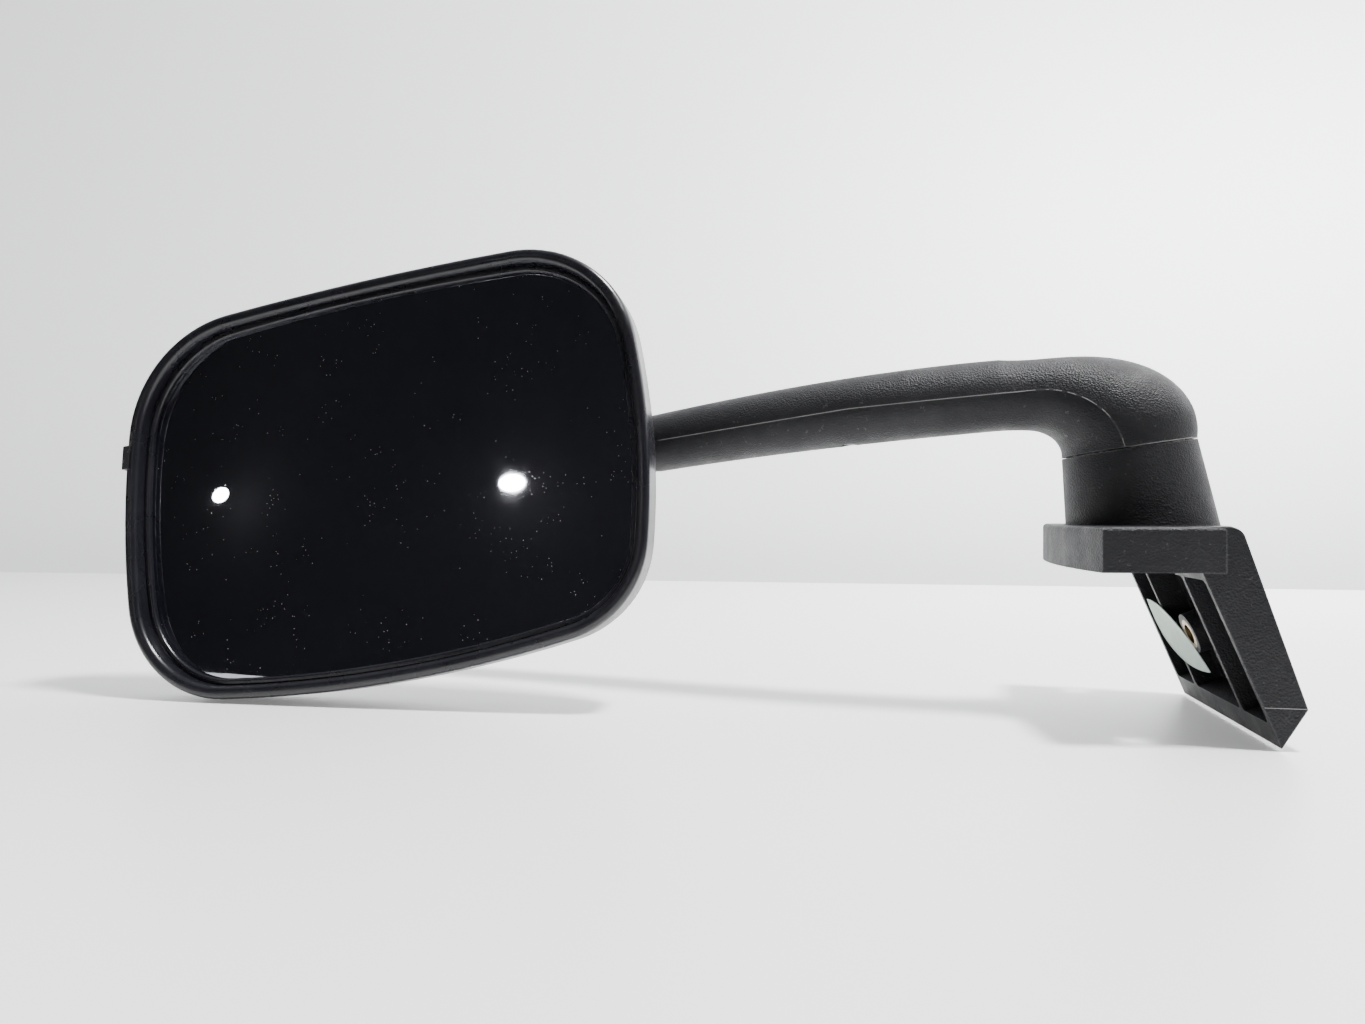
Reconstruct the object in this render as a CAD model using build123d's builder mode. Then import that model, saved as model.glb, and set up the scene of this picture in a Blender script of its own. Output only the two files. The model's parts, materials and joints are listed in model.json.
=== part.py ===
"""Vehicle arm mirror: ribbed L-bracket, pivoting arm and a rimmed convex mirror head on a ball joint.

Frame: +X away from the head, +Z square to the bracket plate, glass facing -Y.
The origin is the middle of the bracket's bolt pattern, on the underside of the plate.
"""
from build123d import *
import math
import os

os.makedirs("parts", exist_ok=True)

# ---------------------------------------------------------------- driving dimensions (mm)
FIT = 0.05

# bracket
BOLT_SPACING = 100.0
BOLT_HOLE_R = 5.5
PLATE_T = 16.5
PLATE_LEFT, PLATE_RIGHT = -28.0, 15.0
PLATE_LEFT_BULGE, PLATE_RIGHT_BULGE = 6.0, 16.0
EDGE_ROUND, SHOULDER_ROUND = 1.8, 5.0
LEG_SHOULDER_X = 20.2
PLATE_HALF_LEFT, PLATE_HALF_RIGHT = 61.5, 55.5
LEG_CORNER_X = 7.3
LEG_TIP_X, LEG_TIP_Z = 33.2, -61.9
LEG_HEEL_X, LEG_HEEL_Z = 41.7, -47.8
LEG_HALF = 55.0
POCKET_DEPTH = 11.0
POCKET_START, POCKET_END = 3.0, 58.0
POCKET_HALF, POCKET_ROUND = 52.5, 2.0
RIB_Y, RIB_T = 27.0, 2.5
INSERT_BOSS_R = 8.5
INSERT_R, INSERT_BORE_R, INSERT_L = 6.0, 4.0, 9.0
LABEL_LENGTH, LABEL_WIDTH, LABEL_T = 60.0, 22.0, 0.4
LABEL_DOWN, LABEL_ACROSS, LABEL_TURN = 35.0, -18.5, 64.0

# pivot
PIVOT_TILT = 8.3
SEAM_W, SEAM_GAP = 32.2, 0.5
BASE_FOOT, BASE_FOOT_R, BASE_TOP_R, BASE_WALL, BASE_ROOF_W = 8.0, 29.6, 26.0, 4.0, 24.0
HUB_R = 12.0
PIVOT_BOLT_R, PIVOT_HEAD_FLATS, PIVOT_HEAD_H = 5.0, 17.0, 6.0
BOLT_HEAD_SEAT = 8.0
BOLT_TOP_W, BOLT_END_ROUND = 64.5, 0.8
BASE_SCREW_CIRCLE, BASE_SCREW_R, BASE_SCREW_HEAD_R, BASE_SCREW_HEAD_H = 17.0, 2.0, 3.6, 3.5
BASE_SCREW_L, BASE_SCREW_BOSS_R, BASE_SCREW_HOLE = 19.0, 5.6, 12.0
HEAD_RELIEF = 1.0
DISC_R, DISC_T, DISC_GAP = 19.0, 2.0, 0.3
EYE_R, EYE_TOP_W = 21.5, 40.0
BUSH_R, BUSH_TOP_W = 7.5, 41.0
WASHER_R, WASHER_T = 10.0, 1.5
SPRING_R, SPRING_WIRE_R, SPRING_TURNS = 8.2, 1.1, 4
SPRING_BASE_W, SPRING_TOP_W = 42.65, 54.0
NUT_H = 6.5
STOP_PIN_R, STOP_CIRCLE, STOP_PIN_SINK, STOP_PIN_RISE = 1.5, 17.0, 5.0, 4.0
STOP_SLOT_DEPTH, STOP_SLOT_PLAY, STOP_SLOT_SPARE_ANGLE = 5.0, 0.4, 10.0
PIN_PLAY = 0.02
FOLD_LIMIT = 75.0

# arm
WALL = 3.0
BAR_R, BAR_START, BAR_KNEE = 6.0, (-20, 0, 47.5), (-28, 0, 71)
BAR_BENDS = (10, 120, 200, 200)
SEAM_RUN, SEAM_BEND, SEAM_FOOT = (-45, 71.6), (-21.3, 64.1), (-11.5, 46)
PARTING_REACH, PARTING_END_DROP = 80.0, 8.0
END_Y = 50.0
END_BOSS_R, END_BOSS_ROUND, END_FRONT_Y, END_BACK_Y = 15.5, 3.0, 30.0, 68.0
EYE_END_R, EYE_END_FRONT_Y, EYE_END_BACK_Y = 9.5, 34.0, 56.5
ARM_SCREW_R, ARM_SCREW_HEAD_R, ARM_SCREW_HEAD_H, ARM_SCREW_END = 2.0, 3.6, 2.6, 5.0
ARM_SCREW_SINK, ARM_SCREW_RELIEF = 0.6, 0.4
ARM_BOSS_R, BOSS_GAP, BOSS_SINK = 5.5, 1.2, 1.0
CAP_R, CAP_PLAY, CAP_LIP, CAP_T, CAP_ROUND = 9.5, 0.02, 1.5, 1.6, 1.1

# head
HEAD_PITCH, HEAD_ROLL = 8.0, 8.0
HEAD_X, HEAD_Y, HEAD_Z = -323.6, -33.3, 40.1
CORNERS = (  # centre x, centre y and radius of a corner arc, crown radius of the side after it
    (-78.2, -41.7, 50.0, 620.0),
    (72.5, -38.9, 45.5, 330.0),
    (68.0, 38.0, 53.5, 1530.0),
    (-67.7, 28.3, 58.5, 410.0),
)
RIM_OUTER_W, RIM_W, RIM_DEPTH, RIM_ROUND = 6.0, 9.0, 13.0, 2.7
LIP_START, LIP_RISE, LIP_ROUND = 5.6, 2.5, 1.2
SHELL_INSET, SHELL_T, SHELL_FRONT = 1.0, 2.5, 6.0
SHELL_DEPTH, SHELL_CROWN_R, SHELL_ROUND = 36.0, 700.0, 9.0
GLASS_INSET, GLASS_CROWN_R, GLASS_RECESS = 5.5, 1300.0, 3.0
POLES_ASIDE = (90, 0, 0)
GLASS_T, PAD_T, CARRIER_T, PAD_INSET, STACK_DEPTH = 2.0, 1.2, 2.6, 9.0, 25.0
RIB_RING_IN, RIB_RING_OUT, RIB_RING_DEPTH = 14.0, 12.0, 17.5
POST_X, POST_Y, POST_R, POST_END = 74.0, 42.0, 5.0, 25.0
SHELL_BOSS_R, SHELL_BOSS_T, POST_SCREW_SEAT, POST_SCREW_RELIEF = 6.0, 4.0, 2.0, 0.5
POST_SCREW_R, POST_SCREW_HEAD_R, POST_SCREW_HEAD_H = 1.8, 3.4, 2.2
POST_SCREW_L, POST_SCREW_DEPTH = 12.0, 10.5
BALL_DEPTH, BALL_R, STUD_R, STUD_FLATS, STUD_FLANGE_T = 30.0, 11.0, 5.0, 17.0, 4.5
STUD_END_GAP, STUD_WASHER_R, STUD_WASHER_T, STUD_NUT_H = 4.0, 9.0, 1.5, 5.0
LINER_IN_R, LINER_OUT_R, LINER_REACH = 11.3, 12.8, 4.0
SOCKET_R, SOCKET_OUT_R, SOCKET_FLANGE_R, SOCKET_NOSE, SOCKET_CHAMFER = 13.1, 17.0, 28.0, 16.6, 6.0
SOCKET_SPLIT, PAD_BACK, PAD_MARGIN = 1.5, 7.5, 2.0
RING_LIP, RING_BACK, RING_MOUTH_R, RING_SPIGOT_R, RING_CHAMFER = 7.0, 11.5, 9.9, 14.8, 1.5
SOCKET_FLANGE_T, BOLT_CIRCLE_R = 4.0, 23.0
SOCKET_SCREW_R, SOCKET_SCREW_HEAD_R, SOCKET_SCREW_HEAD_H, SCREW_END_GAP = 2.0, 3.5, 2.4, 0.5
CLIP_Y, CLIP_LENGTH, CLIP_T, CLIP_REACH, CLIP_DEPTH = 25.0, 11.0, 0.7, 3.0, 9.0
CLIP_SPOT_X, CLIP_ZONE = -127.7, 40.0

# ---------------------------------------------------------------- working planes
tilt = math.radians(PIVOT_TILT)
PIVOT_AXIS = Vector(-math.sin(tilt), 0, math.cos(tilt))
PIVOT = Plane(origin=(0, 0, PLATE_T), x_dir=(math.cos(tilt), 0, math.sin(tilt)), z_dir=PIVOT_AXIS)
PIVOT_SECTION = Plane(origin=PIVOT.origin, x_dir=PIVOT.x_dir, z_dir=(0, -1, 0))
PIVOT_LINE = Axis(PIVOT.origin, PIVOT_AXIS)

pitch = math.radians(HEAD_PITCH)
roll = math.radians(HEAD_ROLL)
HEAD_UP = Vector(0, math.sin(pitch), math.cos(pitch))
HEAD_NORMAL = Vector(0, -math.cos(pitch), math.sin(pitch))
HEAD = Plane(
    origin=(HEAD_X, HEAD_Y, HEAD_Z),
    x_dir=Vector(1, 0, 0) * math.cos(roll) + HEAD_UP * math.sin(roll),
    z_dir=HEAD_NORMAL,
)
BALL_CENTRE = HEAD.origin - HEAD_NORMAL * BALL_DEPTH
END_X, END_Z = BALL_CENTRE.X, BALL_CENTRE.Z
BALL_SECTION = Plane(origin=BALL_CENTRE, x_dir=HEAD_NORMAL * -1, z_dir=HEAD.x_dir)
BALL_LINE = Axis(BALL_CENTRE, HEAD_NORMAL * -1)
STUD_SECTION = Plane(origin=BALL_CENTRE, x_dir=(0, 1, 0), z_dir=(0, 0, 1))
STUD_LINE = Axis(BALL_CENTRE, (0, 1, 0))

leg_length = math.hypot(LEG_TIP_X - LEG_CORNER_X, LEG_TIP_Z)
LEG_DOWN = Vector((LEG_TIP_X - LEG_CORNER_X) / leg_length, 0, LEG_TIP_Z / leg_length)
LEG_FACE = Plane(origin=(LEG_CORNER_X, 0, 0), x_dir=LEG_DOWN, z_dir=(LEG_DOWN.Z, 0, -LEG_DOWN.X))
BAY_MID = (POCKET_START + POCKET_END) / 2

# arm stations: centre, radius and tangent of each round section, from the pivot to the ball end
TUBE_START = (Vector(-55.5, 1, 71.5), 15.1, Vector(-20, 2.4, -1))
ELBOW_STATIONS = (
    (PIVOT.origin + PIVOT_AXIS * SEAM_W, BASE_TOP_R, PIVOT_AXIS),
    (Vector(-11.9, 0, 64.7), 24.9, Vector(-24.5, 0, 43.5)),
    (Vector(-22.3, 0, 69.9), 21.3, Vector(-30, 0, 30.2)),
    (Vector(-33.7, 0, 71.5), 17.3, Vector(-31, 0, 15.5)),
    TUBE_START,
)
TUBE_STATIONS = (
    TUBE_START,
    (Vector(-119, 10, 66.5), 15.1, Vector(-158.5, 31, -16.5)),
    (Vector(-214, 32, 54.8), 13.7, Vector(-204.6, 40, -36)),
    (Vector(END_X, END_Y, END_Z), 13.2, Vector(-109.6, 18, -22)),
)
ARM_SCREW_STATIONS = TUBE_STATIONS[1:3]


def vertical_plane(centre, height):
    """Horizontal sketch plane above or below a station's centre."""
    return Plane(origin=centre + Vector(0, 0, height))


def across_y(y):
    """Sketch plane at a depth y on the stud's axis, facing away from the ball."""
    return Plane(origin=(END_X, y, END_Z), x_dir=(1, 0, 0), z_dir=(0, 1, 0))


def save(part, name):
    part.label = name
    export_step(part, f"parts/{name}.step")


def hexagon(across_flats):
    RegularPolygon(radius=across_flats / 2, side_count=6, major_radius=False)


# ---------------------------------------------------------------- head outline
def side_centre(start, end):
    """Centre of the crowned side arc that joins two corner arcs."""
    a = Vector(start[0], start[1])
    b = Vector(end[0], end[1])
    crown = start[3]
    reach_a, reach_b = crown - start[2], crown - end[2]
    span = (b - a).length
    along = (reach_a**2 - reach_b**2 + span**2) / (2 * span)
    across = math.sqrt(reach_a**2 - along**2)
    direction = (b - a) / span
    return a + direction * along + Vector(-direction.Y, direction.X) * across


def arc_about(centre, radius, start_dir, end_dir):
    """Arc between two directions from its centre."""
    middle = (start_dir + end_dir).normalized()
    ThreePointArc(centre + start_dir * radius, centre + middle * radius, centre + end_dir * radius)


def head_outline(inset):
    """Face bounded by the head's outline, moved inwards by an inset."""
    sides = [side_centre(CORNERS[i], CORNERS[(i + 1) % 4]) for i in range(4)]
    with BuildSketch(Plane.XY) as outline:
        with BuildLine():
            for i in range(4):
                corner = CORNERS[i]
                following = CORNERS[(i + 1) % 4]
                here = Vector(corner[0], corner[1])
                there = Vector(following[0], following[1])
                leave = (here - sides[i]).normalized()
                arrive = (there - sides[i]).normalized()
                turned = (there - sides[(i + 1) % 4]).normalized()
                arc_about(sides[i], corner[3] - inset, leave, arrive)
                arc_about(there, following[2] - inset, arrive, turned)
        make_face()
    return outline.sketch


def head_ring(outer_inset, inner_inset):
    """Ring between two insets of the head's outline."""
    outer = head_outline(outer_inset)
    inner = head_outline(inner_inset)
    with BuildSketch(Plane.XY) as ring:
        add(outer)
        add(inner, mode=Mode.SUBTRACT)
    return ring.sketch


# ---------------------------------------------------------------- fasteners
def make_screws(planes, head_r, head_h, shank_r, shank_l):
    """Socket screws, one per plane: the head bears on the plane, the shank runs along its normal."""
    with BuildPart() as screws:
        for plane in planes:
            with BuildSketch(plane.offset(-head_h)):
                Circle(head_r)
            extrude(amount=head_h)
            with BuildSketch(plane):
                Circle(shank_r)
            extrude(amount=shank_l)
            with BuildSketch(plane.offset(-head_h)):
                hexagon(head_r)
            extrude(amount=0.6 * head_h, mode=Mode.SUBTRACT)
    return screws.part


# ---------------------------------------------------------------- bracket body
def make_bracket():
    """Moulded L-bracket: bolt plate, slanted leg with a ribbed back, boss for a threaded insert."""
    with BuildPart() as plate:
        with BuildSketch(Plane.XY):
            with BuildLine():
                ThreePointArc(
                    (PLATE_LEFT, -PLATE_HALF_LEFT),
                    (PLATE_LEFT - PLATE_LEFT_BULGE, 0),
                    (PLATE_LEFT, PLATE_HALF_LEFT),
                )
                Line((PLATE_LEFT, PLATE_HALF_LEFT), (PLATE_RIGHT, PLATE_HALF_RIGHT))
                ThreePointArc(
                    (PLATE_RIGHT, PLATE_HALF_RIGHT),
                    (PLATE_RIGHT + PLATE_RIGHT_BULGE, 0),
                    (PLATE_RIGHT, -PLATE_HALF_RIGHT),
                )
                Line((PLATE_RIGHT, -PLATE_HALF_RIGHT), (PLATE_LEFT, -PLATE_HALF_LEFT))
            make_face()
        extrude(amount=PLATE_T)
        fillet(plate.faces().sort_by(Axis.Z)[-1].edges(), EDGE_ROUND)
    with BuildPart() as leg:
        with BuildSketch(Plane.XZ.offset(-LEG_HALF)):
            with BuildLine():
                Polyline(
                    (LEG_CORNER_X, 0),
                    (LEG_TIP_X, LEG_TIP_Z),
                    (LEG_HEEL_X, LEG_HEEL_Z),
                    (LEG_SHOULDER_X, PLATE_T),
                    (LEG_CORNER_X, PLATE_T),
                    close=True,
                )
            make_face()
        extrude(amount=2 * LEG_HALF)
        along_y = leg.edges().filter_by(Axis.Y)
        shoulder = along_y.filter_by(lambda edge: edge.center().X > LEG_CORNER_X + 1).group_by(Axis.Z)[-1]
        fillet(shoulder, SHOULDER_ROUND)
    with BuildPart() as bracket:
        add(plate.part)
        add(leg.part)
        with BuildSketch(LEG_FACE):
            bay_length = POCKET_END - POCKET_START
            side_width = POCKET_HALF - RIB_Y - RIB_T / 2
            side_middle = (POCKET_HALF + RIB_Y + RIB_T / 2) / 2
            with Locations((BAY_MID, -side_middle), (BAY_MID, side_middle)):
                RectangleRounded(bay_length, side_width, POCKET_ROUND)
            with Locations((BAY_MID, 0)):
                RectangleRounded(bay_length, 2 * RIB_Y - RIB_T, POCKET_ROUND)
                Circle(INSERT_BOSS_R, mode=Mode.SUBTRACT)
        extrude(amount=-POCKET_DEPTH, mode=Mode.SUBTRACT)
        with BuildSketch(LEG_FACE):
            with Locations((BAY_MID, 0)):
                Circle(INSERT_R)
        extrude(amount=-INSERT_L, mode=Mode.SUBTRACT)
        with BuildSketch(Plane.XY):
            with GridLocations(0, BOLT_SPACING, 1, 2):
                Circle(BOLT_HOLE_R)
        extrude(amount=PLATE_T, mode=Mode.SUBTRACT)
        with BuildSketch(PIVOT.offset(-BOLT_HEAD_SEAT)):
            Circle(PIVOT_BOLT_R + FIT)
            with PolarLocations(BASE_SCREW_CIRCLE, 3, start_angle=60):
                Circle(BASE_SCREW_R + FIT)
        extrude(amount=2 * BOLT_HEAD_SEAT, mode=Mode.SUBTRACT)
        with BuildSketch(PIVOT.offset(-BOLT_HEAD_SEAT)):
            Circle(PIVOT_HEAD_FLATS / math.sqrt(3) + HEAD_RELIEF)
            with PolarLocations(BASE_SCREW_CIRCLE, 3, start_angle=60):
                Circle(BASE_SCREW_HEAD_R + HEAD_RELIEF)
        extrude(amount=-PLATE_T, mode=Mode.SUBTRACT)
    return bracket.part


def make_leg_insert():
    """Threaded insert in the boss between the leg's ribs."""
    with BuildPart() as insert:
        with BuildSketch(LEG_FACE):
            with Locations((BAY_MID, 0)):
                Circle(INSERT_R)
                Circle(INSERT_BORE_R, mode=Mode.SUBTRACT)
        extrude(amount=-INSERT_L)
    return insert.part


def make_blank_label():
    """Leaf-shaped strip of blank label film that lies across the leg's ribs."""
    spot = Location((LABEL_DOWN, LABEL_ACROSS, FIT), (0, 0, LABEL_TURN))
    half = LABEL_LENGTH / 2
    with BuildPart() as label:
        with BuildSketch(Plane(LEG_FACE.location * spot)):
            with BuildLine():
                ThreePointArc((-half, 0), (0, LABEL_WIDTH / 2), (half, 0))
                ThreePointArc((half, 0), (0, -LABEL_WIDTH / 2), (-half, 0))
            make_face()
        extrude(amount=LABEL_T)
    return label.part


def make_pivot_base():
    """Conical lower half of the pivot, hollow from below, cut to the plate at its foot."""
    with BuildPart() as base:
        with BuildSketch(PIVOT_SECTION):
            with BuildLine():
                Polyline(
                    (PIVOT_BOLT_R + FIT, -BASE_FOOT),
                    (BASE_FOOT_R, -BASE_FOOT),
                    (BASE_TOP_R, SEAM_W - SEAM_GAP),
                    (DISC_R + DISC_GAP, SEAM_W - SEAM_GAP),
                    (DISC_R + DISC_GAP, SEAM_W - DISC_T),
                    (PIVOT_BOLT_R + FIT, SEAM_W - DISC_T),
                    close=True,
                )
            make_face()
        revolve(axis=PIVOT_LINE)
        with BuildSketch(PIVOT.offset(-BASE_FOOT)):
            Circle(BASE_TOP_R - BASE_WALL)
            Circle(HUB_R, mode=Mode.SUBTRACT)
            with PolarLocations(BASE_SCREW_CIRCLE, 3, start_angle=60):
                Circle(BASE_SCREW_BOSS_R, mode=Mode.SUBTRACT)
        extrude(amount=BASE_FOOT + BASE_ROOF_W, mode=Mode.SUBTRACT)
        with BuildSketch(PIVOT.offset(-BASE_FOOT)):
            with PolarLocations(BASE_SCREW_CIRCLE, 3, start_angle=60):
                Circle(BASE_SCREW_R)
        extrude(amount=BASE_FOOT + BASE_SCREW_HOLE, mode=Mode.SUBTRACT)
        with BuildSketch(PIVOT.offset(SEAM_W - DISC_T)):
            with Locations((-STOP_CIRCLE, 0)):
                Circle(STOP_PIN_R)
        extrude(amount=-STOP_PIN_SINK, mode=Mode.SUBTRACT)
        split(bisect_by=Plane.XY.offset(PLATE_T), keep=Keep.TOP)
    return base.part


def make_base_screws():
    """Three screws that hold the pivot base on the plate from below."""
    seat = PIVOT.offset(-BOLT_HEAD_SEAT)
    spots = PolarLocations(BASE_SCREW_CIRCLE, 3, start_angle=60).local_locations
    planes = [Plane(seat.location * spot) for spot in spots]
    return make_screws(planes, BASE_SCREW_HEAD_R, BASE_SCREW_HEAD_H, BASE_SCREW_R, BASE_SCREW_L)


def make_pivot_bolt():
    """Hex bolt on the pivot axis, its head sunk in the plate's underside."""
    with BuildPart() as bolt:
        with BuildSketch(PIVOT.offset(-BOLT_HEAD_SEAT - PIVOT_HEAD_H)):
            hexagon(PIVOT_HEAD_FLATS)
        extrude(amount=PIVOT_HEAD_H)
        with BuildSketch(PIVOT.offset(-BOLT_HEAD_SEAT)):
            Circle(PIVOT_BOLT_R)
        extrude(amount=BOLT_HEAD_SEAT + BOLT_TOP_W)
        fillet(bolt.edges().filter_by(GeomType.CIRCLE).sort_by(PIVOT_LINE)[-1], BOLT_END_ROUND)
    return bolt.part


def make_thrust_disc():
    """Friction disc between the pivot base and the arm, held by the stop pin."""
    with BuildPart() as disc:
        with BuildSketch(PIVOT.offset(SEAM_W - DISC_T)):
            Circle(DISC_R)
            Circle(PIVOT_BOLT_R + 4 * FIT, mode=Mode.SUBTRACT)
            with Locations((-STOP_CIRCLE, 0)):
                Circle(STOP_PIN_R + PIN_PLAY, mode=Mode.SUBTRACT)
        extrude(amount=DISC_T)
    return disc.part


def make_stop_pin():
    """Pin from the base into the slot of the arm's eye, which limits the fold."""
    with BuildPart() as pin:
        with BuildSketch(PIVOT.offset(SEAM_W - DISC_T - STOP_PIN_SINK)):
            with Locations((-STOP_CIRCLE, 0)):
                Circle(STOP_PIN_R)
        extrude(amount=STOP_PIN_SINK + DISC_T + STOP_PIN_RISE)
    return pin.part


def make_washer(height):
    """Plain washer on the pivot bolt."""
    with BuildPart() as washer:
        with BuildSketch(PIVOT.offset(height)):
            Circle(WASHER_R)
            Circle(PIVOT_BOLT_R + FIT, mode=Mode.SUBTRACT)
        extrude(amount=WASHER_T)
    return washer.part


def make_pivot_spring():
    """Compression spring that loads the friction disc, coiled about Z and then set on the pivot."""
    rise = SPRING_TOP_W - SPRING_BASE_W - 2 * SPRING_WIRE_R - 2 * FIT
    with BuildPart() as spring:
        with BuildLine(Plane.XY) as coil:
            Helix(pitch=rise / SPRING_TURNS, height=rise, radius=SPRING_R)
        with BuildSketch(Plane(origin=coil.line @ 0, z_dir=coil.line % 0)):
            Circle(SPRING_WIRE_R)
        sweep(path=coil.line, is_frenet=True)
    return spring.part.moved(PIVOT.offset(SPRING_BASE_W + SPRING_WIRE_R + FIT).location)


def make_pivot_nut():
    """Hex lock nut at the top of the pivot bolt."""
    with BuildPart() as nut:
        with BuildSketch(PIVOT.offset(SPRING_TOP_W + WASHER_T)):
            hexagon(PIVOT_HEAD_FLATS)
            Circle(PIVOT_BOLT_R, mode=Mode.SUBTRACT)
        extrude(amount=NUT_H)
    return nut.part


# ---------------------------------------------------------------- arm body
def make_arm_volume(shrink):
    """Elbow and tube, each a round loft through its stations, every radius made smaller alike."""
    with BuildPart() as volume:
        for stations in (ELBOW_STATIONS, TUBE_STATIONS):
            for centre, radius, tangent in stations:
                with BuildSketch(Plane(origin=centre, x_dir=(0, 1, 0), z_dir=tangent)):
                    Circle(radius - shrink)
            loft()
    return volume.part


def make_parting():
    """Solid below the arm's parting line, which runs along the tube and down the elbow."""
    with BuildPart() as lower:
        with BuildSketch(Plane.XZ.offset(-PARTING_REACH)):
            with BuildLine():
                Polyline(
                    SEAM_RUN,
                    (TUBE_STATIONS[1][0].X, TUBE_STATIONS[1][0].Z),
                    (TUBE_STATIONS[2][0].X, TUBE_STATIONS[2][0].Z),
                    (END_X, END_Z),
                    (END_X - PARTING_REACH, END_Z - PARTING_END_DROP),
                    (END_X - PARTING_REACH, -PARTING_REACH),
                    (SEAM_FOOT[0], -PARTING_REACH),
                    SEAM_FOOT,
                )
                ThreePointArc(SEAM_FOOT, SEAM_BEND, SEAM_RUN)
            make_face()
        extrude(amount=2 * PARTING_REACH)
    return lower.part


def make_arm_shells():
    """Upper and lower mouldings of the arm, parted along the tube."""
    outside = make_arm_volume(0)
    inside = make_arm_volume(WALL)
    with BuildPart() as boss:
        with BuildSketch(across_y(END_FRONT_Y)):
            Circle(END_BOSS_R)
        extrude(amount=END_BACK_Y - END_FRONT_Y)
        fillet(boss.edges().filter_by(GeomType.CIRCLE), END_BOSS_ROUND)
    with BuildPart() as arm:
        add(outside)
        add(boss.part)
    with BuildPart() as cavity:
        add(inside)
        with BuildSketch(across_y(END_FRONT_Y + WALL)):
            Circle(END_BOSS_R - WALL)
        extrude(amount=END_BACK_Y - END_FRONT_Y - 2 * WALL)
        with BuildSketch(across_y(END_FRONT_Y)):
            Circle(STUD_R + FIT)
        extrude(amount=2 * WALL)
        with BuildSketch(across_y(END_BACK_Y - 2 * WALL)):
            Circle(CAP_R)
        extrude(amount=2 * WALL)
    hollow = arm.part - cavity.part
    parting = make_parting()
    shells = {"lower": hollow & parting, "upper": hollow - parting}
    with BuildPart() as lower:
        add(shells["lower"])
        for centre, radius, tangent in ARM_SCREW_STATIONS:
            with BuildSketch(vertical_plane(centre, BOSS_SINK - radius)):
                Circle(ARM_BOSS_R)
            extrude(amount=radius - BOSS_SINK - BAR_R - BOSS_GAP)
            with BuildSketch(vertical_plane(centre, -radius)):
                Circle(ARM_SCREW_R)
            extrude(amount=radius, mode=Mode.SUBTRACT)
            with BuildSketch(vertical_plane(centre, -radius - BOSS_SINK)):
                Circle(ARM_SCREW_HEAD_R + ARM_SCREW_RELIEF)
            extrude(amount=BOSS_SINK + ARM_SCREW_HEAD_H + ARM_SCREW_SINK, mode=Mode.SUBTRACT)
    with BuildPart() as upper:
        add(shells["upper"])
        for centre, radius, tangent in ARM_SCREW_STATIONS:
            with BuildSketch(vertical_plane(centre, BAR_R + BOSS_GAP)):
                Circle(ARM_BOSS_R)
                Circle(ARM_SCREW_R, mode=Mode.SUBTRACT)
            extrude(amount=radius - BOSS_SINK - BAR_R - BOSS_GAP)
    return upper.part, lower.part


def make_arm_core():
    """Steel core: slotted pivot eye, bent bar and the eye that takes the ball stud."""
    slot_angle = 2 * FOLD_LIMIT + STOP_SLOT_SPARE_ANGLE
    with BuildLine(Plane.XY) as slot:
        CenterArc((0, 0), STOP_CIRCLE, 180 - slot_angle / 2, slot_angle)
    with BuildPart() as core:
        with BuildSketch(PIVOT.offset(SEAM_W + FIT)):
            Circle(EYE_R)
        extrude(amount=EYE_TOP_W - SEAM_W - FIT)
        with BuildLine() as route:
            FilletPolyline(
                BAR_START,
                BAR_KNEE,
                *(centre for centre, radius, tangent in TUBE_STATIONS),
                radius=BAR_BENDS,
            )
        with BuildSketch(Plane(origin=route.line @ 0, z_dir=route.line % 0)):
            Circle(BAR_R)
        sweep(path=route.line)
        with BuildSketch(across_y(EYE_END_FRONT_Y)):
            Circle(EYE_END_R)
        extrude(amount=EYE_END_BACK_Y - EYE_END_FRONT_Y)
        with BuildSketch(across_y(EYE_END_FRONT_Y)):
            Circle(STUD_R + FIT)
        extrude(amount=END_BACK_Y - EYE_END_FRONT_Y, mode=Mode.SUBTRACT)
        with BuildSketch(across_y(EYE_END_BACK_Y)):
            Circle(EYE_END_R)
        extrude(amount=END_BACK_Y - EYE_END_BACK_Y, mode=Mode.SUBTRACT)
        with BuildSketch(PIVOT.offset(SEAM_W)):
            Circle(BUSH_R)
        extrude(amount=EYE_TOP_W - SEAM_W, mode=Mode.SUBTRACT)
        with BuildSketch(PIVOT.offset(SEAM_W)):
            SlotArc(slot.edges()[0], 2 * (STOP_PIN_R + STOP_SLOT_PLAY))
        extrude(amount=STOP_SLOT_DEPTH, mode=Mode.SUBTRACT)
        for centre, radius, tangent in ARM_SCREW_STATIONS:
            with BuildSketch(vertical_plane(centre, -radius)):
                Circle(ARM_SCREW_R + FIT)
            extrude(amount=2 * radius, mode=Mode.SUBTRACT)
    return core.part


def make_pivot_bush():
    """Bearing sleeve pressed into the arm's eye."""
    with BuildPart() as bush:
        with BuildSketch(PIVOT.offset(SEAM_W + FIT)):
            Circle(BUSH_R)
            Circle(PIVOT_BOLT_R + FIT, mode=Mode.SUBTRACT)
        extrude(amount=EYE_TOP_W - SEAM_W - FIT)
        with BuildSketch(PIVOT.offset(EYE_TOP_W)):
            Circle(WASHER_R)
            Circle(PIVOT_BOLT_R + FIT, mode=Mode.SUBTRACT)
        extrude(amount=BUSH_TOP_W - EYE_TOP_W)
    return bush.part


def make_arm_screws():
    """Screws that clamp the arm's mouldings on the steel bar, from below."""
    planes = []
    length = 0
    for centre, radius, tangent in ARM_SCREW_STATIONS:
        planes.append(vertical_plane(centre, -radius + ARM_SCREW_HEAD_H + ARM_SCREW_SINK))
        length = 2 * radius - ARM_SCREW_HEAD_H - ARM_SCREW_END
    return make_screws(planes, ARM_SCREW_HEAD_R, ARM_SCREW_HEAD_H, ARM_SCREW_R, length)


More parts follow.
